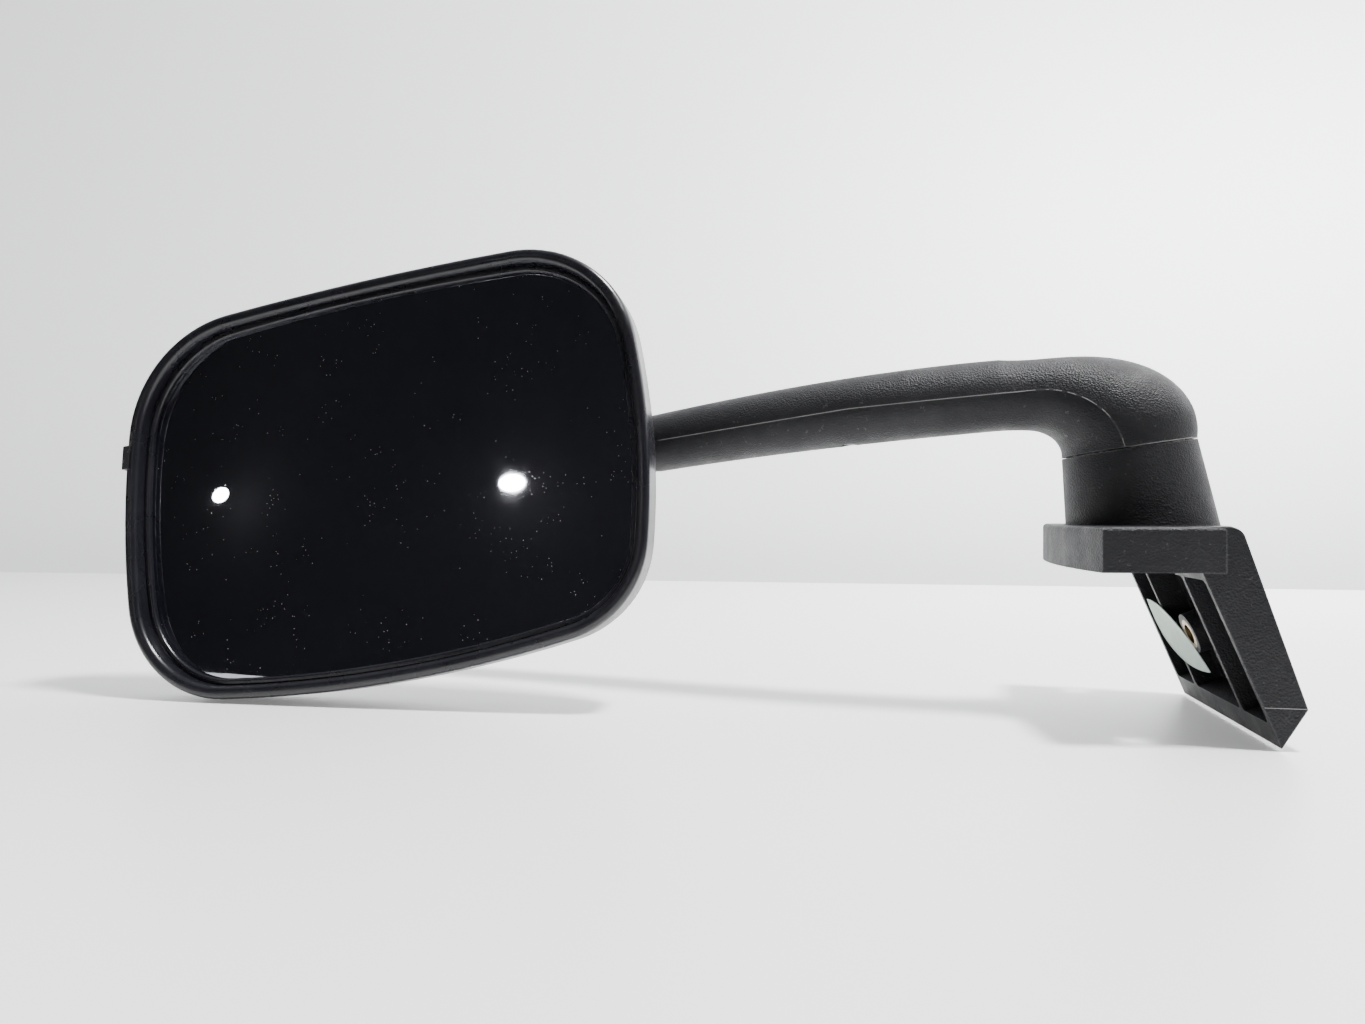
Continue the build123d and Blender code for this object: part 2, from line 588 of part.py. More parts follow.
def make_ball_stud():
    """Ball on a hexagon-flanged stud that passes through the arm's end."""
    flange_start = END_FRONT_Y - STUD_FLANGE_T
    with BuildPart() as stud:
        with BuildSketch(STUD_SECTION):
            with BuildLine():
                neck = math.sqrt(BALL_R**2 - STUD_R**2)
                stud_end = END_BACK_Y - STUD_END_GAP - BALL_CENTRE.Y
                ThreePointArc((-BALL_R, 0), (0, BALL_R), (neck, STUD_R))
                Polyline((neck, STUD_R), (stud_end, STUD_R), (stud_end, 0), (-BALL_R, 0))
            make_face()
        revolve(axis=STUD_LINE)
        with BuildSketch(across_y(flange_start)):
            hexagon(STUD_FLATS)
        extrude(amount=STUD_FLANGE_T)
    return stud.part


def make_stud_washer():
    with BuildPart() as washer:
        with BuildSketch(across_y(EYE_END_BACK_Y)):
            Circle(STUD_WASHER_R)
            Circle(STUD_R + FIT, mode=Mode.SUBTRACT)
        extrude(amount=STUD_WASHER_T)
    return washer.part


def make_stud_nut():
    with BuildPart() as nut:
        with BuildSketch(across_y(EYE_END_BACK_Y + STUD_WASHER_T)):
            hexagon(STUD_FLATS)
            Circle(STUD_R, mode=Mode.SUBTRACT)
        extrude(amount=STUD_NUT_H)
    return nut.part


def make_stud_cap():
    """Push-in cap over the stud's nut, at the back of the arm's end."""
    with BuildPart() as cap:
        with BuildSketch(across_y(END_BACK_Y - WALL)):
            Circle(CAP_R - CAP_PLAY)
        extrude(amount=WALL)
        with BuildSketch(across_y(END_BACK_Y)):
            Circle(CAP_R + CAP_LIP)
        extrude(amount=CAP_T)
        crown = cap.edges().filter_by(GeomType.CIRCLE).sort_by(Axis.Y)[-1]
        fillet(crown, CAP_ROUND)
    return cap.part


# ---------------------------------------------------------------- ball joint
def make_ball_liner():
    """Plastic liner that turns on the ball, inside the socket."""
    with BuildPart() as liner:
        with BuildSketch(BALL_SECTION):
            with BuildLine():
                outer = math.sqrt(LINER_OUT_R**2 - LINER_REACH**2)
                inner = math.sqrt(LINER_IN_R**2 - LINER_REACH**2)
                ThreePointArc((-LINER_OUT_R, 0), (0, LINER_OUT_R), (LINER_REACH, outer))
                Line((LINER_REACH, outer), (LINER_REACH, inner))
                ThreePointArc((LINER_REACH, inner), (0, LINER_IN_R), (-LINER_IN_R, 0))
                Line((-LINER_IN_R, 0), (-LINER_OUT_R, 0))
            make_face()
        revolve(axis=BALL_LINE)
    return liner.part


def make_ball_socket():
    """Front half of the socket, flanged to the inside of the rear shell."""
    with BuildPart() as socket:
        with BuildSketch(BALL_SECTION):
            with BuildLine():
                cavity = math.sqrt(SOCKET_R**2 - SOCKET_SPLIT**2)
                ThreePointArc((-SOCKET_R, 0), (0, SOCKET_R), (SOCKET_SPLIT, cavity))
                Polyline(
                    (SOCKET_SPLIT, cavity),
                    (SOCKET_SPLIT, SOCKET_FLANGE_R),
                    (SOCKET_SPLIT - SOCKET_FLANGE_T, SOCKET_FLANGE_R),
                    (SOCKET_SPLIT - SOCKET_FLANGE_T, SOCKET_OUT_R),
                    (SOCKET_CHAMFER - SOCKET_NOSE, SOCKET_OUT_R),
                    (-SOCKET_NOSE, SOCKET_OUT_R - SOCKET_CHAMFER),
                    (-SOCKET_NOSE, 0),
                    (-SOCKET_R, 0),
                )
            make_face()
        revolve(axis=BALL_LINE)
        with BuildSketch(HEAD.offset(-BALL_DEPTH - SOCKET_SPLIT)):
            with PolarLocations(BOLT_CIRCLE_R, 4, start_angle=45):
                Circle(SOCKET_SCREW_R)
        extrude(amount=SOCKET_FLANGE_T, mode=Mode.SUBTRACT)
    return socket.part


def make_socket_ring():
    """Back half of the socket, screwed on from outside; its mouth clears the stud's neck."""
    with BuildPart() as ring:
        with BuildSketch(BALL_SECTION):
            with BuildLine():
                split_at = SOCKET_SPLIT + FIT
                cavity = math.sqrt(SOCKET_R**2 - split_at**2)
                lip = math.sqrt(SOCKET_R**2 - RING_LIP**2)
                middle = (split_at + RING_LIP) / 2
                ThreePointArc(
                    (split_at, cavity),
                    (middle, math.sqrt(SOCKET_R**2 - middle**2)),
                    (RING_LIP, lip),
                )
                Polyline(
                    (RING_LIP, lip),
                    (RING_LIP, RING_MOUTH_R),
                    (RING_BACK, RING_MOUTH_R),
                    (RING_BACK, SOCKET_FLANGE_R - RING_CHAMFER),
                    (RING_BACK - RING_CHAMFER, SOCKET_FLANGE_R),
                    (PAD_BACK, SOCKET_FLANGE_R),
                    (PAD_BACK, RING_SPIGOT_R),
                    (split_at, RING_SPIGOT_R),
                    (split_at, cavity),
                )
            make_face()
        revolve(axis=BALL_LINE)
        with BuildSketch(HEAD.offset(-BALL_DEPTH - RING_BACK)):
            with PolarLocations(BOLT_CIRCLE_R, 4, start_angle=45):
                Circle(SOCKET_SCREW_R)
        extrude(amount=RING_BACK - PAD_BACK, mode=Mode.SUBTRACT)
    return ring.part


def make_socket_screws():
    seat = HEAD.offset(-BALL_DEPTH - RING_BACK)
    spots = PolarLocations(BOLT_CIRCLE_R, 4, start_angle=45).local_locations
    planes = [Plane(seat.location * spot) for spot in spots]
    length = RING_BACK - SOCKET_SPLIT + SOCKET_FLANGE_T - SCREW_END_GAP
    return make_screws(planes, SOCKET_SCREW_HEAD_R, SOCKET_SCREW_HEAD_H, SOCKET_SCREW_R, length)


# ---------------------------------------------------------------- head body
def make_rear_shell():
    """Crowned rear housing with the socket's pad and the carrier's screw bosses."""
    outside = head_outline(SHELL_INSET)
    inside = head_outline(SHELL_INSET + SHELL_T)
    with BuildPart() as shell:
        with BuildSketch(HEAD.offset(-SHELL_FRONT)):
            add(outside)
        extrude(amount=-SHELL_DEPTH)
        with Locations(HEAD.offset(SHELL_CROWN_R - SHELL_DEPTH)):
            Sphere(SHELL_CROWN_R, mode=Mode.INTERSECT)
        back = shell.faces().filter_by(GeomType.SPHERE)
        fillet(back.edges(), SHELL_ROUND)
    with BuildPart() as cavity:
        with BuildSketch(HEAD.offset(-SHELL_FRONT)):
            add(inside)
        extrude(amount=-SHELL_DEPTH)
        with Locations(HEAD.offset(SHELL_CROWN_R - SHELL_DEPTH)):
            Sphere(SHELL_CROWN_R - SHELL_T, mode=Mode.INTERSECT)
        back = cavity.faces().filter_by(GeomType.SPHERE)
        fillet(back.edges(), SHELL_ROUND - SHELL_T)
    with BuildPart() as housing:
        add(shell.part)
        add(cavity.part, mode=Mode.SUBTRACT)
        with BuildSketch(HEAD.offset(-BALL_DEPTH - PAD_BACK)):
            Circle(SOCKET_FLANGE_R + PAD_MARGIN)
        extrude(amount=PAD_BACK - SOCKET_SPLIT)
        with BuildSketch(HEAD.offset(-BALL_DEPTH - PAD_BACK)):
            Circle(SOCKET_OUT_R - PAD_MARGIN)
            with PolarLocations(BOLT_CIRCLE_R, 4, start_angle=45):
                Circle(SOCKET_SCREW_R + FIT)
        extrude(amount=PAD_BACK - SOCKET_SPLIT, mode=Mode.SUBTRACT)
        with BuildSketch(HEAD.offset(-POST_END - SHELL_BOSS_T)):
            with GridLocations(2 * POST_X, 2 * POST_Y, 2, 2):
                Circle(SHELL_BOSS_R)
        extrude(amount=SHELL_BOSS_T)
        with BuildSketch(HEAD.offset(-POST_END)):
            with GridLocations(2 * POST_X, 2 * POST_Y, 2, 2):
                Circle(POST_SCREW_R + FIT)
        extrude(amount=-SHELL_DEPTH, mode=Mode.SUBTRACT)
        with BuildSketch(HEAD.offset(-POST_END - POST_SCREW_SEAT)):
            with GridLocations(2 * POST_X, 2 * POST_Y, 2, 2):
                Circle(POST_SCREW_HEAD_R + POST_SCREW_RELIEF)
        extrude(amount=-SHELL_DEPTH, mode=Mode.SUBTRACT)
    return housing.part


def make_dome_slice(inset, front_r, thickness):
    """Slice of the crowned glass stack: an outline between two concentric spheres."""
    centre = HEAD.offset(-GLASS_RECESS - GLASS_CROWN_R)
    outline = head_outline(inset)
    with BuildPart() as dome:
        with BuildSketch(HEAD.offset(-STACK_DEPTH)):
            add(outline)
        extrude(amount=STACK_DEPTH)
        with Locations(centre):
            Sphere(front_r, rotation=POLES_ASIDE, mode=Mode.INTERSECT)
        with Locations(centre):
            Sphere(front_r - thickness, rotation=POLES_ASIDE, mode=Mode.SUBTRACT)
    return dome.part


def make_glass_carrier():
    """Plate behind the glass, with a stiffening ring and four screw posts."""
    front_r = GLASS_CROWN_R - GLASS_T - PAD_T
    plate = make_dome_slice(GLASS_INSET, front_r, CARRIER_T)
    ring = head_ring(RIB_RING_OUT, RIB_RING_IN)
    with BuildPart() as stiffeners:
        with BuildSketch(HEAD.offset(-RIB_RING_DEPTH)):
            add(ring)
        extrude(amount=RIB_RING_DEPTH)
        with BuildSketch(HEAD.offset(-POST_END)):
            with GridLocations(2 * POST_X, 2 * POST_Y, 2, 2):
                Circle(POST_R)
        extrude(amount=POST_END)
        with Locations(HEAD.offset(-GLASS_RECESS - GLASS_CROWN_R)):
            Sphere(front_r - CARRIER_T / 2, mode=Mode.INTERSECT)
    with BuildPart() as carrier:
        add(plate)
        add(stiffeners.part)
        with BuildSketch(HEAD.offset(-POST_END)):
            with GridLocations(2 * POST_X, 2 * POST_Y, 2, 2):
                Circle(POST_SCREW_R)
        extrude(amount=POST_SCREW_DEPTH, mode=Mode.SUBTRACT)
    return carrier.part


def make_carrier_screws():
    seat = HEAD.offset(-POST_END - POST_SCREW_SEAT)
    spots = GridLocations(2 * POST_X, 2 * POST_Y, 2, 2).local_locations
    planes = [Plane(seat.location * spot) for spot in spots]
    return make_screws(planes, POST_SCREW_HEAD_R, POST_SCREW_HEAD_H, POST_SCREW_R, POST_SCREW_L)


def make_rim_seal():
    """Rubber rim: rounded outer bead, a lip that follows the glass, and a slot for the shell's edge."""
    glass_zone = make_dome_slice(GLASS_INSET, GLASS_CROWN_R + FIT, STACK_DEPTH)
    outer_ring = head_ring(0, RIM_OUTER_W)
    lip_ring = head_ring(LIP_START, RIM_W)
    slot_ring = head_ring(SHELL_INSET, SHELL_INSET + SHELL_T)
    with BuildPart() as outer_bead:
        with BuildSketch(HEAD):
            add(outer_ring)
        extrude(amount=-RIM_DEPTH)
        front = outer_bead.faces().sort_by(Axis(HEAD.origin, HEAD_NORMAL))[-1]
        fillet(front.edges(), RIM_ROUND)
    with BuildPart() as lip:
        with BuildSketch(HEAD.offset(-RIM_DEPTH)):
            add(lip_ring)
        extrude(amount=RIM_DEPTH)
        with Locations(HEAD.offset(-GLASS_RECESS - GLASS_CROWN_R)):
            Sphere(GLASS_CROWN_R + LIP_RISE, mode=Mode.INTERSECT)
        crest = lip.faces().filter_by(GeomType.SPHERE)
        fillet(crest.edges(), LIP_ROUND)
    with BuildPart() as seal:
        add(outer_bead.part)
        add(lip.part)
        with BuildSketch(HEAD.offset(-RIM_DEPTH)):
            add(slot_ring)
        extrude(amount=RIM_DEPTH - SHELL_FRONT, mode=Mode.SUBTRACT)
        add(glass_zone, mode=Mode.SUBTRACT)
    return seal.part


def make_seal_clip():
    """Thin sleeve over the joint of the rim seal, on the outer side of the head."""
    side_ring = head_ring(-CLIP_T, 0)
    front_ring = head_ring(-CLIP_T, CLIP_REACH)
    with BuildPart() as clip:
        with BuildSketch(HEAD.offset(-CLIP_DEPTH)):
            add(side_ring)
        extrude(amount=CLIP_DEPTH + CLIP_T)
        with BuildSketch(HEAD):
            add(front_ring)
        extrude(amount=CLIP_T)
        with Locations(HEAD * Location((CLIP_SPOT_X, CLIP_Y, 0))):
            Box(CLIP_ZONE, CLIP_LENGTH, CLIP_ZONE, mode=Mode.INTERSECT)
    return clip.part


# ---------------------------------------------------------------- build and write
upper_shell, lower_shell = make_arm_shells()
PARTS = {
    "bracket": make_bracket(),
    "leg_insert": make_leg_insert(),
    "blank_label": make_blank_label(),
    "pivot_base": make_pivot_base(),
    "base_screws": make_base_screws(),
    "pivot_bolt": make_pivot_bolt(),
    "thrust_disc": make_thrust_disc(),
    "stop_pin": make_stop_pin(),
    "lower_washer": make_washer(BUSH_TOP_W + FIT),
    "pivot_spring": make_pivot_spring(),
    "upper_washer": make_washer(SPRING_TOP_W),
    "pivot_nut": make_pivot_nut(),
    "arm_upper_shell": upper_shell,
    "arm_lower_shell": lower_shell,
    "arm_core": make_arm_core(),
    "pivot_bush": make_pivot_bush(),
    "arm_screws": make_arm_screws(),
    "ball_stud": make_ball_stud(),
    "stud_washer": make_stud_washer(),
    "stud_nut": make_stud_nut(),
    "stud_cap": make_stud_cap(),
    "ball_liner": make_ball_liner(),
    "ball_socket": make_ball_socket(),
    "socket_ring": make_socket_ring(),
    "socket_screws": make_socket_screws(),
    "rear_shell": make_rear_shell(),
    "glass_carrier": make_glass_carrier(),
    "carrier_screws": make_carrier_screws(),
    "adhesive_pad": make_dome_slice(PAD_INSET, GLASS_CROWN_R - GLASS_T, PAD_T),
    "mirror_glass": make_dome_slice(GLASS_INSET, GLASS_CROWN_R, GLASS_T),
    "rim_seal": make_rim_seal(),
    "seal_clip": make_seal_clip(),
}
for name, part in PARTS.items():
    save(part, name)
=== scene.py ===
"""Vehicle arm mirror, dressed for its looks: grained mouldings, glossy rim, dark convex glass."""
import json
import math

import bpy
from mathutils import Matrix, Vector
from mathutils.bvhtree import BVHTree


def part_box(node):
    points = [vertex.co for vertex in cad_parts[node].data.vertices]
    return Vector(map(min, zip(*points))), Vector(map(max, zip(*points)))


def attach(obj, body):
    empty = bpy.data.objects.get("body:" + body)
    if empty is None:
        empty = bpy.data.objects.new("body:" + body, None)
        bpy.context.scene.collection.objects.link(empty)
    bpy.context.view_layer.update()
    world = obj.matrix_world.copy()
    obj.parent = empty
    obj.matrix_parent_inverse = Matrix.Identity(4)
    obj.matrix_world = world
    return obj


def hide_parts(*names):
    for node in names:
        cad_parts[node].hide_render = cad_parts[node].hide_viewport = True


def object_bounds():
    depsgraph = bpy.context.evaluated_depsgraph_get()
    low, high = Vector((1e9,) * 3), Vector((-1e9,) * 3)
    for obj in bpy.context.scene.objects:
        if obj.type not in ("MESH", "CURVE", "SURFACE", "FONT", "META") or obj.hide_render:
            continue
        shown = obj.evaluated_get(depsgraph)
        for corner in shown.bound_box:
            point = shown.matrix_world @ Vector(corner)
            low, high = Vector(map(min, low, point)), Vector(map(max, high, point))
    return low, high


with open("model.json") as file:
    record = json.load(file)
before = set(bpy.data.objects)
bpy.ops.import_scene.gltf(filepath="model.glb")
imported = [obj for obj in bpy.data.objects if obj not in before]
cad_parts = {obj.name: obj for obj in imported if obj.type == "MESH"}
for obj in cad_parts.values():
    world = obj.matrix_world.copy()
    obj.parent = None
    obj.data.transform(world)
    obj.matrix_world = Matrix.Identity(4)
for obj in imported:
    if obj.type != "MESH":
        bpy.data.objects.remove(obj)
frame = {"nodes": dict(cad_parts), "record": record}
cad_low, cad_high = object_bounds()

ROOM_Y = -2.2  # the dark room's far side, behind the camera
LAMP_Y = -2.0
LAMP_HALF_WIDTH, LAMP_HALF_HEIGHT = 0.055, 0.036
LAMP_SIDES = 24
FLASH_RADIUS = 0.00016
LEG_FLASH_RADIUS = 0.00015
LEG_FLASH_RISE = 0.0143  # height of the leg's flash line above the bracket's lowest point
SEAM_FOOT_INSET = 0.0195  # from the pivot base's left side to where the parting meets the fold


# ---------------------------------------------------------------- camera, floor and light
def aim(obj, target):
    """Turns a camera or light so that it looks at a point."""
    direction = Vector(target) - obj.location
    obj.rotation_euler = direction.to_track_quat("-Z", "Y").to_euler()


def make_camera():
    """Level camera in front of the mirror, at its middle height, with a 26 mm lens."""
    data = bpy.data.cameras.new("camera")
    data.lens = 26
    data.sensor_width = 36
    camera = bpy.data.objects.new("camera", data)
    bpy.context.collection.objects.link(camera)
    camera.location = (-0.1098, -0.437, 0.0219)
    aim(camera, camera.location + Vector((-0.187, 0.982, 0)))
    bpy.context.scene.camera = camera


def stage_plane(name, corners, material):
    """Flat polygon that belongs to the stage, not to the mirror."""
    mesh = bpy.data.meshes.new(name)
    mesh.from_pydata(corners, [], [tuple(range(len(corners)))])
    mesh.materials.append(material)
    plane = bpy.data.objects.new(name, mesh)
    bpy.context.collection.objects.link(plane)
    return plane


def plain(name, colour, roughness, strength=0.0):
    """Flat material for the stage, which glows where a strength is given."""
    material = bpy.data.materials.new(name)
    material.use_nodes = True
    shader = material.node_tree.nodes["Principled BSDF"]
    shader.inputs["Base Color"].default_value = (*colour, 1)
    shader.inputs["Roughness"].default_value = roughness
    shader.inputs["Emission Color"].default_value = (*colour, 1)
    shader.inputs["Emission Strength"].default_value = strength
    return material


def make_stage():
    """White table top, a pale wall behind it, and a dark room with two lamps for reflections."""
    floor = cad_low.z
    reach = 4.0
    table_front, table_back = -0.31, 0.75
    table = [(-reach, table_front, floor), (reach, table_front, floor)]
    table += [(reach, table_back, floor), (-reach, table_back, floor)]
    stage_plane("table", table, plain("table_white", (0.92, 0.92, 0.91), 0.4, 0.20))
    wall_y = table_back + 0.25
    wall = [(-reach, wall_y, -2), (reach, wall_y, -2), (reach, wall_y, 4), (-reach, wall_y, 4)]
    stage_plane("wall", wall, plain("wall_pale", (0.86, 0.87, 0.88), 0.9, 1.0))
    dark = plain("room_dark", (0.006, 0.006, 0.008), 1.0)
    left, right, bottom, top, side_y = -6, 6, -1.0, 3.2, 0.4
    outline = ((left, bottom), (right, bottom), (right, top), (left, top))
    room_back = stage_plane("room_card", [(x, ROOM_Y, z) for x, z in outline], dark)
    room_back.visible_camera = False
    room_back.visible_transmission = False
    side_x = -4.5
    outline = ((side_y, bottom), (ROOM_Y, bottom), (ROOM_Y, top), (side_y, top))
    room_side = stage_plane("room_side", [(side_x, y, z) for y, z in outline], dark)
    room_side.visible_camera = False

    lamp = plain("lamp_white", (1.0, 0.98, 0.94), 1.0, 60.0)
    head_low, head_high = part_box("rim_seal")
    head_middle = (head_low.x + head_high.x) / 2
    lamp_z = cad_high.z + 0.5
    turns = [2 * math.pi * k / LAMP_SIDES for k in range(LAMP_SIDES)]
    ring = [(LAMP_HALF_WIDTH * math.cos(t), LAMP_HALF_HEIGHT * math.sin(t)) for t in turns]
    for number, lamp_x in enumerate((head_middle - 2.0, head_middle - 0.5)):
        oval = [(lamp_x + across, LAMP_Y, lamp_z + up) for across, up in ring]
        card = stage_plane(f"lamp_card_{number}", oval, lamp)
        card.visible_camera = False
        card.visible_diffuse = False
        card.visible_shadow = False


def area_light(name, location, target, size, power, colour=(1, 1, 1), mirrored=True):
    """Soft rectangular light that faces a point."""
    data = bpy.data.lights.new(name, "AREA")
    data.shape = "RECTANGLE"
    data.size, data.size_y = size
    data.energy = power
    data.color = colour
    light = bpy.data.objects.new(name, data)
    bpy.context.collection.objects.link(light)
    light.location = location
    aim(light, target)
    light.visible_glossy = mirrored  # False keeps a light out of the glass


def make_lights():
    """Soft even room light, a stronger one from above, and weak ones from the sides."""
    world = bpy.data.worlds.new("soft_room")
    world.use_nodes = True
    background = world.node_tree.nodes["Background"]
    background.inputs["Color"].default_value = (0.95, 0.97, 1.0, 1)
    background.inputs["Strength"].default_value = 0.38
    bpy.context.scene.world = world
    middle = (-0.15, 0, 0.05)
    area_light("ceiling", (0.30, -0.10, 1.5), middle, (0.22, 0.22), 58)
    area_light("window", (0.9, 0.5, 0.9), middle, (0.9, 0.6), 10)
    area_light("wall_wash", (0.4, 0.55, 0.5), (0.3, 1.0, 0.1), (0.8, 0.3), 9)
    area_light("fill_left", (-1.4, -0.5, 0.4), middle, (0.8, 0.8), 1.2, (0.95, 0.97, 1.0), False)


# ---------------------------------------------------------------- material helpers
class Nodes:
    """Small helper that adds nodes to a material and links them."""

    def __init__(self, name):
        self.material = bpy.data.materials.new(name)
        self.material.use_nodes = True
        self.tree = self.material.node_tree
        self.shader = self.tree.nodes["Principled BSDF"]
        coordinates = self.add("ShaderNodeTexCoord")
        self.position = coordinates.outputs["Object"]

    def add(self, kind, **settings):
        node = self.tree.nodes.new(kind)
        for key, value in settings.items():
            setattr(node, key, value)
        return node

    def link(self, output, socket):
        self.tree.links.new(output, socket)

    def noise(self, scale, detail=3.0, roughness=0.55, stretch=None):
        node = self.add("ShaderNodeTexNoise")
        node.inputs["Scale"].default_value = scale
        node.inputs["Detail"].default_value = detail
        node.inputs["Roughness"].default_value = roughness
        source = self.position
        if stretch:
            mapping = self.add("ShaderNodeMapping")
            mapping.inputs["Scale"].default_value = stretch
            self.link(self.position, mapping.inputs["Vector"])
            source = mapping.outputs["Vector"]
        self.link(source, node.inputs["Vector"])
        return node.outputs["Fac"]

    def cells(self, scale):
        """Distance to the nearest of scattered cell centres."""
        node = self.add("ShaderNodeTexVoronoi", feature="F1")
        node.inputs["Scale"].default_value = scale
        self.link(self.position, node.inputs["Vector"])
        return node.outputs["Distance"]

    def ramp(self, factor, stops):
        """Colour ramp from (position, colour) stops."""
        node = self.add("ShaderNodeValToRGB")
        elements = node.color_ramp.elements
        while len(elements) < len(stops):
            elements.new(0.5)
        for element, (place, colour) in zip(elements, stops):
            element.position = place
            element.color = (*colour, 1)
        self.link(factor, node.inputs["Fac"])
        return node.outputs["Color"]

    def span(self, factor, low, high, out_low, out_high):
        """Value carried from one range to another."""
        node = self.add("ShaderNodeMapRange")
        node.inputs["From Min"].default_value = low
        node.inputs["From Max"].default_value = high
        node.inputs["To Min"].default_value = out_low
        node.inputs["To Max"].default_value = out_high
        self.link(factor, node.inputs["Value"])
        return node.outputs["Result"]

    def math(self, operation, first, second):
        node = self.add("ShaderNodeMath", operation=operation)
        for socket, value in zip(node.inputs, (first, second)):
            if isinstance(value, (int, float)):
                socket.default_value = value
            else:
                self.link(value, socket)
        return node.outputs["Value"]

    def mix(self, factor, first, second):
        """Colour mix; each side is a socket or a plain colour."""
        node = self.add("ShaderNodeMix", data_type="RGBA")
        self.link(factor, node.inputs["Factor"])
        for name, value in (("A", first), ("B", second)):
            socket = [s for s in node.inputs if s.name == name and s.type == "RGBA"][0]
            if isinstance(value, tuple):
                socket.default_value = (*value, 1)
            else:
                self.link(value, socket)
        return [s for s in node.outputs if s.type == "RGBA"][0]

    def bump(self, height, strength, distance, under=None):
        node = self.add("ShaderNodeBump")
        node.inputs["Strength"].default_value = strength
        node.inputs["Distance"].default_value = distance
        self.link(height, node.inputs["Height"])
        if under is not None:
            self.link(under, node.inputs["Normal"])
        return node.outputs["Normal"]

    def edge_wear_and_sheen(self, radius):
        """Near 1 at sharp outer edges, 0 on flats."""
        node = self.add("ShaderNodeBevel", samples=4)
        node.inputs["Radius"].default_value = radius
        geometry = self.add("ShaderNodeNewGeometry")
        dot = self.add("ShaderNodeVectorMath", operation="DOT_PRODUCT")
        self.link(node.outputs["Normal"], dot.inputs[0])
        self.link(geometry.outputs["Normal"], dot.inputs[1])
        return self.span(dot.outputs["Value"], 0.995, 0.90, 0.0, 1.0)

    def finish(self, colour=None, roughness=None, normal=None, **fixed):
        """Links what varies, sets what is fixed, and returns the material."""
        for name, socket in (("Base Color", colour), ("Roughness", roughness), ("Normal", normal)):
            if socket is not None:
                self.link(socket, self.shader.inputs[name])
        for name, value in fixed.items():
            self.shader.inputs[name.replace("_", " ")].default_value = value
        return self.material


# ---------------------------------------------------------------- materials
def grained_plastic(name, grain):
    """Spark-eroded black moulding: fine pebble grain, faint dust, and paler edges that are partly
    worn and partly a painted highlight.
    """
    dark, light = (0.007, 0.007, 0.009), (0.013, 0.013, 0.016)
    depth = 0.00025
    m = Nodes(name)
    colour = m.ramp(m.noise(18, 4), ((0.3, dark), (0.7, light)))
    dust = m.span(m.noise(420, 2, 0.7), 0.66, 0.74, 0.0, 0.35)
    colour = m.mix(dust, colour, (0.10, 0.10, 0.10))
    # paler edges: partly real wear, partly a painted highlight standing in for light caught by the
    # rounded edges
    wear_and_edge_sheen = m.math("MULTIPLY", m.edge_wear_and_sheen(0.0009), m.noise(260, 3))
    colour = m.mix(wear_and_edge_sheen, colour, (0.10, 0.10, 0.105))
    roughness = m.span(m.noise(90, 4), 0.3, 0.7, 0.46, 0.62)
    pebbles = m.bump(m.cells(grain), 0.9, depth)
    normal = m.bump(m.noise(grain * 2.2, 2, 0.6), 0.5, depth * 0.7, pebbles)
    return m.finish(colour, roughness, normal, Specular_IOR_Level=0.32)


def rim_rubber():
    """Glossy black rim rubber, nearly smooth, with pale scuffs on its outer left side."""
    m = Nodes("rim_rubber")
    colour = m.ramp(m.noise(35, 4), ((0.3, (0.007, 0.007, 0.010)), (0.75, (0.013, 0.013, 0.017))))
    axes = m.add("ShaderNodeSeparateXYZ")
    m.link(m.position, axes.inputs["Vector"])
    left_edge = cad_low.x + 0.004
    on_left = m.span(axes.outputs["X"], left_edge, left_edge - 0.003, 0.0, 1.0)
    scuff = m.math("MULTIPLY", m.span(m.noise(310, 3, 0.6), 0.60, 0.66, 0.0, 0.8), on_left)
    colour = m.mix(scuff, colour, (0.30, 0.29, 0.26))
    dust = m.span(m.cells(420), 0.05, 0.03, 0.0, 0.5)
    colour = m.mix(dust, colour, (0.25, 0.25, 0.25))
    roughness = m.span(m.noise(45, 3), 0.3, 0.75, 0.24, 0.34)
    roughness = m.math("MAXIMUM", roughness, m.math("MULTIPLY", scuff, 0.6))
    normal = m.bump(m.noise(150, 2), 0.08, 0.0002)
    return m.finish(colour, roughness, normal, Specular_IOR_Level=0.5)


def mirror_glass():
    """Silvered convex glass that holds a dark room, with fine dust specks and faint smears."""
    m = Nodes("mirror_glass")
    colour = m.ramp(m.noise(14, 4), ((0.25, (0.37, 0.38, 0.44)), (0.8, (0.45, 0.46, 0.51))))
    specks = m.span(m.cells(560), 0.12, 0.07, 0.0, 1.0)
    thin = m.span(m.noise(70, 2), 0.50, 0.62, 0.0, 0.8)
    specks = m.math("MULTIPLY", specks, thin)
    colour = m.mix(specks, colour, (0.62, 0.62, 0.62))
    smears = m.span(m.noise(22, 5, 0.65), 0.45, 0.75, 0.012, 0.05)
    roughness = m.math("MAXIMUM", smears, m.math("MULTIPLY", specks, 0.7))
    return m.finish(colour, roughness, Metallic=1.0)


def plated_metal(name, colour):
    """Zinc-plated steel or turned brass, with fine tool marks and uneven shine."""
    m = Nodes(name)
    darker = tuple(0.62 * part for part in colour)
    shade = m.ramp(m.noise(70, 5), ((0.3, darker), (0.7, colour)))
    roughness = m.span(m.noise(300, 4), 0.3, 0.7, 0.24, 0.48)
    normal = m.bump(m.noise(700, 3, stretch=(1, 1, 0.2)), 0.2, 0.0001)
    return m.finish(shade, roughness, normal, Metallic=1.0)


def smooth_plastic(name, dark, light, low, high):
    """Nearly smooth moulding; low and high bound its roughness."""
    m = Nodes(name)
    colour = m.ramp(m.noise(40, 4), ((0.3, dark), (0.7, light)))
    roughness = m.span(m.noise(120, 3), 0.3, 0.7, low, high)
    normal = m.bump(m.noise(500, 3), 0.2, 0.0001)
    return m.finish(colour, roughness, normal)


